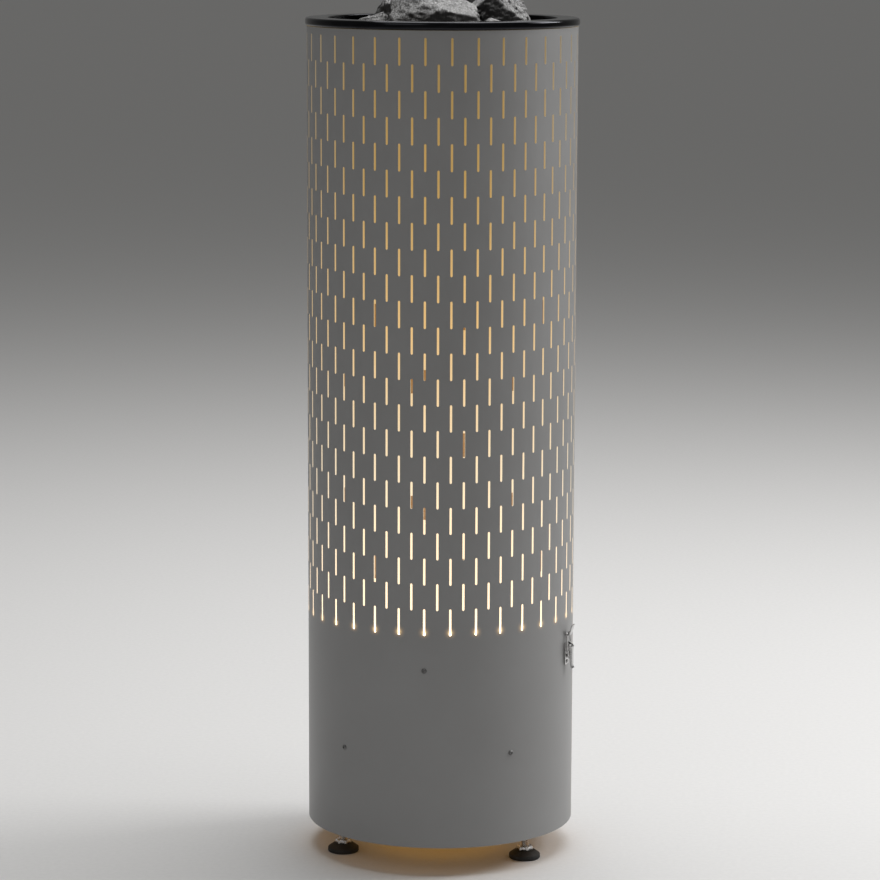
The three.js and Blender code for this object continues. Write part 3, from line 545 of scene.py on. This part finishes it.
def diode_glow():
    """Warm white diodes, their colour varied slightly by fine noise."""
    f = Finish("diode_glow", Roughness=0.3, Emission_Strength=4.0)
    cloud = f.noise(300, 2)
    return f.feed(
        Base_Color=f.ramp(cloud, (0.3, (1.0, 0.9, 0.7)), (0.7, (1.0, 0.94, 0.8))),
        Emission_Color=f.ramp(cloud, (0.3, (1.0, 0.84, 0.56)), (0.7, (1.0, 0.9, 0.68))),
    )


def plain_stuff(name, colour, low, high, scale, depth):
    """Moulded stuff in one colour with a fine grain."""
    f = Finish(name)
    grain = f.noise(scale, 4)
    paler = tuple(min(1, c * 1.35 + 0.004) for c in colour)
    tone = f.ramp(f.noise(scale / 12, 3), (0.3, colour), (0.7, paler))
    relief = f.bump(grain, depth, 0.5)
    return f.feed(Base_Color=tone, Roughness=f.between(grain, low, high), Normal=relief)


PAINT = casing_paint()
RING = dark_ring()
ROCK = rock("rock", -0.06)
PALE_ROCK = rock("pale_rock", 0.16)
BRIGHT = steel("bright_steel", 0.62, 0.16, 0.34, (1, 1, 0.06))
SHEET = steel("sheet_steel", 0.42, 0.32, 0.55, (0.06, 1, 1))
SCREW_STEEL = steel("screw_steel", 0.2, 0.3, 0.5, (1, 1, 1))
JACKET = lit_jacket()
INSIDE = casing_inside()
LIT_ROCK = lit_rock()
DIODE = diode_glow()
RUBBER = plain_stuff("rubber", (0.012, 0.012, 0.012), 0.6, 0.85, 1200, 0.08 * MM)
PLASTIC = plain_stuff("black_plastic", (0.02, 0.02, 0.022), 0.4, 0.6, 1500, 0.04 * MM)
CERAMIC = plain_stuff("ceramic", (0.7, 0.66, 0.57), 0.4, 0.6, 900, 0.05 * MM)
RED = plain_stuff("red_plastic", (0.4, 0.018, 0.014), 0.25, 0.4, 1500, 0.02 * MM)


# Casing


def slot_cell():
    """Outlines of a slot and of the sheet round it: twelve points each, across and up from its middle."""
    across, up = COLUMN_ANGLE / 2, ROW_PITCH
    half, end = SLOT_WIDTH / 2 / CASING_RADIUS, SLOT_LENGTH / 2 - SLOT_WIDTH / 2
    slant = math.sqrt(0.5)
    top_hole = [(half, end), (half * slant, end + SLOT_WIDTH / 2 * slant), (0, SLOT_LENGTH / 2)]
    top_rim = [(across, up / 2), (across, up), (0, up)]
    hole, rim = [(half, 0)] + top_hole, [(across, 0)] + top_rim
    hole += [(-x, y) for x, y in reversed(hole[:-1])]
    rim += [(-x, y) for x, y in reversed(rim[:-1])]
    hole += [(-x, -y) for x, y in hole[1:-1]]
    rim += [(-x, -y) for x, y in rim[1:-1]]
    return np.array(hole), np.array(rim)


def plain_strips(columns, heights):
    """Sheet with no slots: for each column, three points across and one row of points for each height."""
    across = np.array([-0.5, 0, 0.5]) * COLUMN_ANGLE
    angle = columns[:, None, None] * COLUMN_ANGLE + across[None, None, :]
    spots = np.stack(np.broadcast_arrays(angle, heights[None, :, None]), axis=-1)
    per_column = len(heights) * 3
    faces = grid_faces(len(heights), 3)
    faces = faces[None] + np.arange(len(columns))[:, None, None] * per_column
    return spots.reshape(-1, 2), faces.reshape(-1, 4)


def casing_sheet(first_column):
    """Unrolled half casing, as angle and height: a cell round each slot, plain strips above and below."""
    columns = np.arange(first_column, first_column + SLOT_COLUMNS)
    k, row = [a.ravel() for a in np.meshgrid(columns, np.arange(SLOT_ROWS), indexing="ij")]
    k, row = k[(k + row) % 2 == 0], row[(k + row) % 2 == 0]
    middle = np.stack([k * COLUMN_ANGLE, FIRST_ROW - row * ROW_PITCH], axis=-1)
    hole, rim = slot_cell()
    spots = middle[:, None, :] + np.vstack([hole, rim])[None]
    per_cell = len(hole) + len(rim)
    faces = ring_band(len(hole))[None] + np.arange(len(middle))[:, None, None] * per_cell
    parts = [(spots.reshape(-1, 2), faces.reshape(-1, 4))]
    even, odd = columns[columns % 2 == 0], columns[columns % 2 == 1]
    below = LAST_ROW - ROW_PITCH
    top = np.array([FIRST_ROW, FIRST_ROW + ROW_PITCH / 2, CASING_HIGH])
    parts.append(plain_strips(odd, top))
    parts.append(plain_strips(odd, np.array([LAST_ROW, LAST_ROW - ROW_PITCH / 2, below])))
    plain_rows = 9
    foot = np.linspace(below, CASING_LOW, plain_rows)
    parts.append(plain_strips(np.concatenate([even, odd]), foot))
    points = np.vstack([p for p, _ in parts])
    starts = np.cumsum([0] + [len(p) for p, _ in parts[:-1]])
    faces = np.vstack([f + s for (_, f), s in zip(parts, starts)])
    points[:, 1] = np.minimum(points[:, 1], CASING_HIGH)
    return points, faces


def thick_sheet(spots, faces, seam_low, seam_high):
    """The unrolled sheet rolled up at two radii, with walls along every free edge."""
    step = 1e-7
    spots = np.stack([np.clip(spots[:, 0], seam_low, seam_high), spots[:, 1]], axis=-1)
    keys, where = np.unique(np.round(spots / step).astype(np.int64), axis=0, return_inverse=True)
    spots = keys * step
    faces = where.ravel()[faces]
    count = len(spots)
    outer = around_axis(CASING_RADIUS, spots[:, 0], spots[:, 1])
    inner = around_axis(CASING_RADIUS - CASING_WALL, spots[:, 0], spots[:, 1])
    edges = np.vstack([faces[:, [i, (i + 1) % 4]] for i in range(4)])
    code = np.sort(edges, axis=1) @ np.array([count, 1])
    _, first, times = np.unique(code, return_index=True, return_counts=True)
    free = edges[first[times == 1]]
    walls = np.stack([free[:, 1], free[:, 0], free[:, 0] + count, free[:, 1] + count], axis=-1)
    everything = np.vstack([faces, faces[:, ::-1] + count, walls])
    return np.vstack([outer, inner]), everything


def light_inside(mesh):
    """Gives the second finish to the inner skin and the slot edges, which lie inside the outer skin."""
    mesh.materials.append(INSIDE)
    centres = np.empty(len(mesh.polygons) * 3)
    mesh.polygons.foreach_get("center", centres)
    centres = centres.reshape(-1, 3)
    inside = np.hypot(centres[:, 0], centres[:, 1]) < CASING_RADIUS - CASING_WALL / 3
    mesh.polygons.foreach_set("material_index", inside.astype(np.int32))


def build_casing():
    """Front and rear half shells, with a gap at the side seams."""
    gap = SEAM_GAP / 2 / CASING_RADIUS
    half = (SLOT_COLUMNS - 1) // 2
    for name, first, middle in (("front", -half, 0.0), ("rear", half + 1, math.pi)):
        low, high = middle - math.pi / 2 + gap, middle + math.pi / 2 - gap
        points, faces = thick_sheet(*casing_sheet(first), low, high)
        node = f"casing_{name}"
        sheet = add_piece(f"{node}_sheet", [(points, faces)], PAINT, [node])
        light_inside(sheet.data)


def build_seams():
    """A narrow strip behind each side seam: part of a round band just inside the casing."""
    half, thick, clearance = 4 * MM / CASING_RADIUS, 0.8 * MM, 0.2 * MM
    foot_margin, head_margin = 2 * MM, 8 * MM
    outer = CASING_RADIUS - CASING_WALL - clearance
    inner = outer - thick
    rows = [(outer, -half), (outer, 0), (outer, half), (inner, half), (inner, 0), (inner, -half)]
    radius, aside = np.array(rows).T
    heights = np.array([CASING_LOW + foot_margin, CASING_HIGH - head_margin])
    faces = grid_faces(2, len(rows), wrap_columns=True).tolist() + end_caps(2 * len(rows), len(rows))
    for name, middle in (("right", math.pi / 2), ("left", -math.pi / 2)):
        points = around_axis(radius, middle + aside, heights[:, None]).reshape(-1, 3)
        add_piece(f"seam_flange_{name}", [(points, faces)], PAINT)


def build_ring():
    """Polished ring with a round outer edge above and below, and a soft inner edge."""
    low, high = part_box("top_ring")
    jacket_wall, lip, seat, clearance, skirt_wall = 1.2 * MM, 4 * MM, 0.3 * MM, 0.8 * MM, 2 * MM
    edge, soft = 3.2 * MM, 1 * MM
    inner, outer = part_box("stone_jacket")[1][0] - jacket_wall - lip, high[0]
    bottom, top = CASING_HIGH + seat, high[2]
    skirt = CASING_RADIUS - CASING_WALL - clearance
    profile = np.vstack([
        [(inner + soft, bottom), (skirt - skirt_wall, bottom), (skirt - skirt_wall, low[2])],
        [(skirt, low[2]), (skirt, bottom)],
        arc(outer - edge, bottom + edge, edge, -90, 0, 9),
        arc(outer - edge, top - edge, edge, 0, 90, 9),
        arc(inner + soft, top - soft, soft, 90, 180, 5),
        arc(inner + soft, bottom + soft, soft, 180, 270, 5),
    ])
    add_piece("top_ring_turned", [turned(profile, 192)], RING, ["top_ring"], sharp=50)


# Small metal pieces


def build_screws():
    """Domed heads with a six-sided socket, on plain shanks."""
    head, dome, shank, depth = 3.0 * MM, 1.8 * MM, 1.5 * MM, 9 * MM
    socket, seat = 1.1 * MM, 0.25 * MM
    rim, brim, floor = socket * 1.45, dome * 0.25, dome * 0.3
    steps = 48
    angle = full_turn(steps)
    hexagon = hexagon_radius(socket, angle)
    rows = [(shank, -depth), (shank, 0), (head, 0), (head, brim)]
    for x in np.linspace(0, 1, 7)[1:]:
        rows.append((head - (head - rim) * x, brim + (dome - brim) * math.sin(x * math.pi / 2)))
    rows += [(hexagon, dome), (hexagon, floor)]
    points = np.vstack([around_axis(radius, angle, z) for radius, z in rows])
    faces = grid_faces(len(rows), steps, wrap_columns=True).tolist() + end_caps(len(points), steps)
    boxes = [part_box(f"casing_screw_{number}") for number in (1, 2)]
    upper, lower = [(low[2] + high[2]) / 2 for low, high in boxes]
    places = [(upper, 0), (lower, -SCREW_ANGLE), (lower, SCREW_ANGLE), (upper, math.pi)]
    places += [(lower, math.pi + SCREW_ANGLE), (lower, math.pi - SCREW_ANGLE)]
    for number, (z, turn) in enumerate(places, 1):
        node = f"casing_screw_{number}"
        place = axis_outward(turn, FACET_OUTER + seat, z)
        add_piece(f"{node}_head", [(moved(points, place), faces)], SCREW_STEEL, [node])


def build_feet():
    """Pad with a rounded foot and a sloping top, threaded stud with a six-sided collar, lock nut."""
    edge, heel, shoulder = 18.6 * MM, 1.5 * MM, 2 * MM
    shoulder_z = 4.4 * MM
    profile = np.vstack([
        [(0, 0), (edge - heel, 0)],
        arc(edge - heel, heel, heel, -70, 0, 4),
        arc(edge - shoulder, shoulder_z, shoulder, 0, 62, 5),
        MM * np.array([(12.6, 9.6), (12, 10), (0, 10)]),
    ])
    for number in (1, 2, 3):
        pad, stud, nut = f"foot_pad_{number}", f"foot_stud_{number}", f"foot_nut_{number}"
        body = f"foot_{number}"
        low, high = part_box(pad)
        place = Matrix.Translation(((low[0] + high[0]) / 2, (low[1] + high[1]) / 2, 0))
        thread = [foot_thread(place), hex_disc(HEX_FLAT, COLLAR_LOW, COLLAR_HIGH, place)]
        lock = hex_disc(HEX_FLAT, NUT_LOW, NUT_HIGH, place, NUT_BORE)
        add_piece(f"{pad}_turned", [turned(profile, 64, place)], RUBBER, [pad], body=body)
        add_piece(f"{stud}_thread", thread, BRIGHT, [stud], body=body)
        add_piece(f"{nut}_hex", [lock], BRIGHT, [nut])


def foot_thread(place):
    """Stud whose radius follows a saw wave that climbs one pitch a turn, with flat ends."""
    pitch, outside, depth, steps = 1.5 * MM, 5 * MM, 0.9 * MM, 24
    z = np.linspace(COLLAR_HIGH, STUD_TOP, 240)
    angle = full_turn(steps)
    wave = (z[:, None] / pitch - angle[None] / TAU) % 1
    radius = outside - depth * (1 - np.abs(2 * wave - 1))
    points = around_axis(radius, angle[None], z[:, None]).reshape(-1, 3)
    faces = grid_faces(len(z), steps, wrap_columns=True).tolist()
    return moved(points, place), faces + end_caps(len(points), steps)


def hex_disc(flat, low, high, place, bore=None):
    """Six-sided disc with turned-off corners, round a bore where one is given."""
    steps = 72
    angle = full_turn(steps)
    hexagon = hexagon_radius(flat, angle)
    turned_off = np.minimum(hexagon, flat * 0.98)
    chamfer = 0.6 * MM
    rows = [(turned_off, low), (hexagon, low + chamfer), (hexagon, high - chamfer), (turned_off, high)]
    if bore:
        rows += [(bore, high), (bore, low)]
    else:
        rows = [(0, low)] + rows + [(0, high)]
    points = np.vstack([around_axis(radius, angle, z) for radius, z in rows])
    faces = grid_faces(len(rows), steps, wrap_rows=bool(bore), wrap_columns=True)
    return moved(points, place), faces


# Draw latch


def build_latch():
    """Base with ears, bent lever, wire bail and leaning keeper on the casing's right side."""
    pivot_z = JOINTS["lever_swing"]["pos_m"][2]
    pivot_out = math.hypot(*JOINTS["lever_swing"]["pos_m"][:2]) - FACET_OUTER
    place = outward_place(LATCH_ANGLE, FACET_OUTER + pivot_out, pivot_z)
    latch_base(place, pivot_out)
    latch_lever(place)
    latch_bail(place, pivot_z)
    latch_keeper()
    rivet = MM * np.array([(0, -4), (1.5, -4), (1.5, 0), (2.4, 0), (2.2, 0.45), (1.5, 0.75), (0, 0.8)])
    plate_face = 2.1 * MM
    for number, drop in enumerate((11.5 * MM, 18 * MM), 1):
        spot = axis_outward(LATCH_ANGLE, FACET_OUTER + plate_face, pivot_z - drop)
        node = f"latch_rivet_{number}"
        add_piece(f"{node}_turned", [turned(rivet, 24, spot)], BRIGHT, [node])


def latch_base(place, pivot_out):
    """Riveted plate with two ears and the pin between them."""
    face, above, below = 1.8 * MM - pivot_out, 5.5 * MM, 21.5 * MM
    back, width = face - 1.5 * MM, 12.4 * MM
    ear_root, ear_step, ear_round = face - 0.7 * MM, face + 0.6 * MM, 3.4 * MM
    ear_middle, ear_width = 4.1 * MM, 1 * MM
    plate = [(back, -below), (face, -below), (face, above), (back, above)]
    ear = np.vstack([
        [(ear_root, -above), (ear_step, -above)],
        arc(0, 0, ear_round, -60, 60, 9),
        [(ear_step, above), (ear_root, above)],
    ])
    parts = [slab(plate, width, place)]
    for side in (-1, 1):
        parts.append(slab(ear, ear_width, place @ Matrix.Translation((0, side * ear_middle, 0))))
    add_piece("latch_base_plate", parts, BRIGHT, ["latch_base"], bevel=0.25 * MM)
    reach, radius, edge = 5 * MM, 1.5 * MM, 0.3 * MM
    pin = [(0, -reach), (radius - edge, -reach), (radius, edge - reach), (radius, reach - edge)]
    pin += [(radius - edge, reach), (0, reach)]
    across = place @ Matrix.Rotation(math.pi / 2, 4, "X")
    add_piece("latch_pin_turned", [turned(pin, 32, across)], BRIGHT, ["latch_pin"])


def latch_lever(place):
    """Round boss, block that holds the bail, and a blade that ends in a turned-out tip."""
    boss, width = 3.3 * MM, 6.4 * MM
    block = [(-2.3, -2.3), (-2.3, -12), (-1.6, -13)]
    blade = [(1.1, -14.6), (1.1, -22.1)]
    tip = [(1.7, -24.5), (3.3, -26.5), (4.8, -25.6), (3.7, -23.9), (3.3, -21.9)]
    outline = np.vstack([arc(0, 0, boss, 0, 180, 11), MM * np.array(block + blade + tip)])
    lever = slab(outline, width, place)
    nodes = ["latch_lever"]
    add_piece("latch_lever_bent", [lever], BRIGHT, nodes, body="lever", bevel=0.5 * MM)


def latch_bail(place, pivot_z):
    """Wire from one side of the lever up round the keeper and down to the other side."""
    radius, bend, side, grip = 1 * MM, 2 * MM, 6.4 * MM, 1.2 * MM
    foot = (-0.4 * MM, -10 * MM)
    head = (-2.6 * MM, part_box("latch_bail")[1][2] - radius - pivot_z)
    corners = [(foot[0], -grip, foot[1]), (foot[0], -side, foot[1]), (head[0], -side, head[1])]
    corners += [(head[0], side, head[1]), (foot[0], side, foot[1]), (foot[0], grip, foot[1])]
    bail = wire(rounded_path(corners, bend), radius, 14, place)
    add_piece("latch_bail_wire", [bail], BRIGHT, ["latch_bail"], body="bail")


def latch_keeper():
    """Strip through the casing that turns up into a leaning lip."""
    low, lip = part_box("latch_keeper")[0][2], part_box("latch_keeper")[1][2]
    inside, bend, lean, plate = -24.3 * MM, 6.2 * MM, 3.8 * MM, 1.8 * MM
    outline = [(inside, low), (bend - 1 * MM, low), (bend, low + 0.7 * MM), (bend + lean, lip)]
    outline += [(bend + lean - plate, lip), (bend - 1.3 * MM, low + plate), (inside, low + plate)]
    keeper = slab(outline, 8 * MM, outward_place(LATCH_ANGLE, FACET_OUTER, 0))
    add_piece("latch_keeper_bent", [keeper], BRIGHT, ["latch_keeper"], bevel=0.4 * MM)


# Light


def build_diodes():
    """A row of small domes just above the light strip, one under each column of slots."""
    radius, foot, gap = 2.6 * MM, 0.8 * MM, 0.2 * MM
    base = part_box("light_strip")[1][2] + gap
    middle = (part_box("stone_jacket")[1][0] + CASING_RADIUS - CASING_WALL) / 2
    dome = np.vstack([[(radius, 0)], arc(0, foot, radius, 0, 90, 5)])
    parts = []
    for column in range(2 * SLOT_COLUMNS):
        x, y, z = around_axis(middle, column * COLUMN_ANGLE, base)
        parts.append(turned(dome, 10, Matrix.Translation((x, y, z))))
    add_piece("light_diodes", parts, DIODE)


# Stones


def directions(count):
    """Unit vectors over a cube grid, six patches of count by count points."""
    t = np.tan(np.linspace(-math.pi / 4, math.pi / 4, count))
    u, v = [a.ravel() for a in np.meshgrid(t, t, indexing="ij")]
    one = np.ones_like(u)
    sides = ((one, u, v), (-one, u, v), (u, one, v), (u, -one, v), (u, v, one), (u, v, -one))
    patches = [np.stack(side, axis=-1) for side in sides]
    patches = [p / np.linalg.norm(p, axis=1)[:, None] for p in patches]
    faces = grid_faces(count, count)
    return np.vstack(patches), np.vstack([faces + i * count * count for i in range(6)])


def ripples(points, rng, size, count=40):
    """Sum of many waves of random direction and about one size, from about -1 to 1."""
    way = random_ways(rng, count)
    length = size * rng.uniform(0.6, 1.6, count)
    phase = rng.uniform(0, TAU, count)
    waves = np.sin(points @ (way * (TAU / length)[:, None]).T + phase)
    return waves.sum(axis=1) / math.sqrt(count)


def broken_surface(rng, centre, normals, reach, ways, rough):
    """Points in each direction on the nearest plane, edges softened, moved in by up to about two roughs."""
    nearness = np.maximum(ways @ normals.T / reach, 0)
    sharpness = 70
    radius = (nearness**sharpness).sum(axis=1) ** (-1 / sharpness)
    points = centre + ways * radius[:, None]
    waves = 0.9 * ripples(points, rng, 20 * rough) + 0.6 * ripples(points, rng, 8 * rough)
    waves += 0.4 * ripples(points, rng, 4 * rough)
    return points + ways * ((waves - 1) * rough)[:, None]


def random_ways(rng, count):
    """Unit vectors in random directions."""
    ways = rng.normal(size=(count, 3))
    return ways / np.linalg.norm(ways, axis=1)[:, None]


def split_stone(number, ways, faces):
    """A stone inside its solid: the solid's own planes and many chips off its corners."""
    rng = np.random.default_rng(STONE_SEED + number)
    node = f"stone_{number}"
    mesh = frame["nodes"][node].data
    corners = np.array([v.co for v in mesh.vertices])
    normals = np.array([p.normal for p in mesh.polygons])
    starts = np.array([p.center for p in mesh.polygons])
    centre = (corners.min(axis=0) + corners.max(axis=0)) / 2
    reach = np.einsum("ij,ij->i", starts - centre, normals)
    _, keep = np.unique(np.round(normals, 3), axis=0, return_index=True)
    chip_count, deepest, rough = 90, 0.84, 1 * MM
    chips = random_ways(rng, chip_count)
    support = ((corners - centre) @ chips.T).max(axis=0)
    normals = np.vstack([normals[keep], chips])
    reach = np.concatenate([reach[keep], support * rng.uniform(deepest, 1.0, chip_count)])
    points = broken_surface(rng, centre, normals, reach, ways, rough)
    finish = PALE_ROCK if number in PALE_STONES else ROCK
    add_piece(f"{node}_split", [(points, faces)], finish, [node], sharp=60)


def build_stones():
    """All the top stones, each over its own solid."""
    ways, faces = directions(48)
    for number in range(1, STONE_COUNT + 1):
        split_stone(number, ways, faces)


# Finishes of the solids that stay in view


def finish_solids():
    """Gives each solid the finish of its material slot, and jacket and filling one of their own."""
    finishes = {"sheet_steel": SHEET, "bright_steel": BRIGHT, "black_plastic": PLASTIC}
    finishes |= {"ceramic": CERAMIC, "red_plastic": RED, "stone": ROCK, "led": DIODE}
    finishes |= {"rubber": RUBBER, "casing_paint": PAINT, "dark_ring": RING}
    own = {"stone_jacket": JACKET, "stone_fill": LIT_ROCK}
    slots = {part["node"]: part["material_slot"] for part in frame["record"]["subparts"]}
    for node, solid in frame["nodes"].items():
        solid.data.materials.clear()
        solid.data.materials.append(own.get(node) or finishes[slots[node]])


# Floor, light and camera


def build_stage():
    """Pale floor, even world, a wide lamp overhead, one behind on the right and a weak one in front."""
    floor_mesh = bpy.data.meshes.new("floor")
    corners = [(x * FLOOR_REACH, y * FLOOR_REACH, 0) for x, y in ((-1, -1), (1, -1), (1, 1), (-1, 1))]
    floor_mesh.from_pydata(corners, [], [(0, 1, 2, 3)])
    floor = bpy.data.objects.new("floor", floor_mesh)
    bpy.context.scene.collection.objects.link(floor)
    pale = Finish("floor", Roughness=0.75)
    darker, paler = grey(FLOOR_TONE - FLOOR_GRAIN, 0.01), grey(FLOOR_TONE + FLOOR_GRAIN, 0.01)
    tone = pale.ramp(pale.noise(160, 4), (0.3, darker), (0.7, paler))
    floor_mesh.materials.append(pale.feed(Base_Color=tone))
    world = bpy.data.worlds.new("studio")
    bpy.context.scene.world = world
    world.use_nodes = True
    around = Nodes(world.node_tree)
    seen = around.node("LightPath", out="Is Camera Ray") + around.node("LightPath", out="Is Glossy Ray")
    even = around.node("Background", Color=WORLD_COLOUR, Strength=WORLD_LIGHT)
    backdrop = around.node("Background", Color=WORLD_COLOUR, Strength=WORLD_LIGHT * FLOOR_TONE)
    both = around.node("MixShader", **{"0": seen, "1": even, "2": backdrop})
    around.tree.links.new(both.socket, around.tree.nodes["World Output"].inputs["Surface"])
    for name, place, size, watts in LAMPS:
        lamp = bpy.data.lights.new(name, "AREA")
        lamp.size = size
        lamp.energy = watts
        holder = bpy.data.objects.new(name, lamp)
        holder.location = place
        aim = np.array(LAMP_AIM) - np.array(place)
        tilt = math.acos(-aim[2] / np.linalg.norm(aim))
        holder.rotation_euler = (tilt, 0, math.atan2(-aim[0], aim[1]))
        bpy.context.scene.collection.objects.link(holder)


def build_camera():
    """Camera at the photograph's viewing angle, turned down so that the object fills the same frame."""
    camera = bpy.data.cameras.new("camera")
    camera.sensor_width = SENSOR_MM
    camera.lens = CAMERA_FOCAL_PX / PHOTO_SIZE * SENSOR_MM
    holder = bpy.data.objects.new("camera", camera)
    x, y = CAMERA_DISTANCE * math.sin(CAMERA_AZIMUTH), -CAMERA_DISTANCE * math.cos(CAMERA_AZIMUTH)
    turn = Matrix.Rotation(CAMERA_AZIMUTH + CAMERA_YAW, 4, "Z")
    turn = turn @ Matrix.Rotation(math.pi / 2 - CAMERA_PITCH, 4, "X") @ Matrix.Rotation(CAMERA_ROLL, 4, "Z")
    holder.matrix_world = Matrix.Translation((x, y, CAMERA_HEIGHT)) @ turn
    bpy.context.scene.collection.objects.link(holder)
    bpy.context.scene.camera = holder


bpy.context.scene.view_settings.view_transform = "Standard"
build_camera()
build_stage()
finish_solids()
build_casing()
build_seams()
build_ring()
build_screws()
build_feet()
build_latch()
build_diodes()
build_stones()
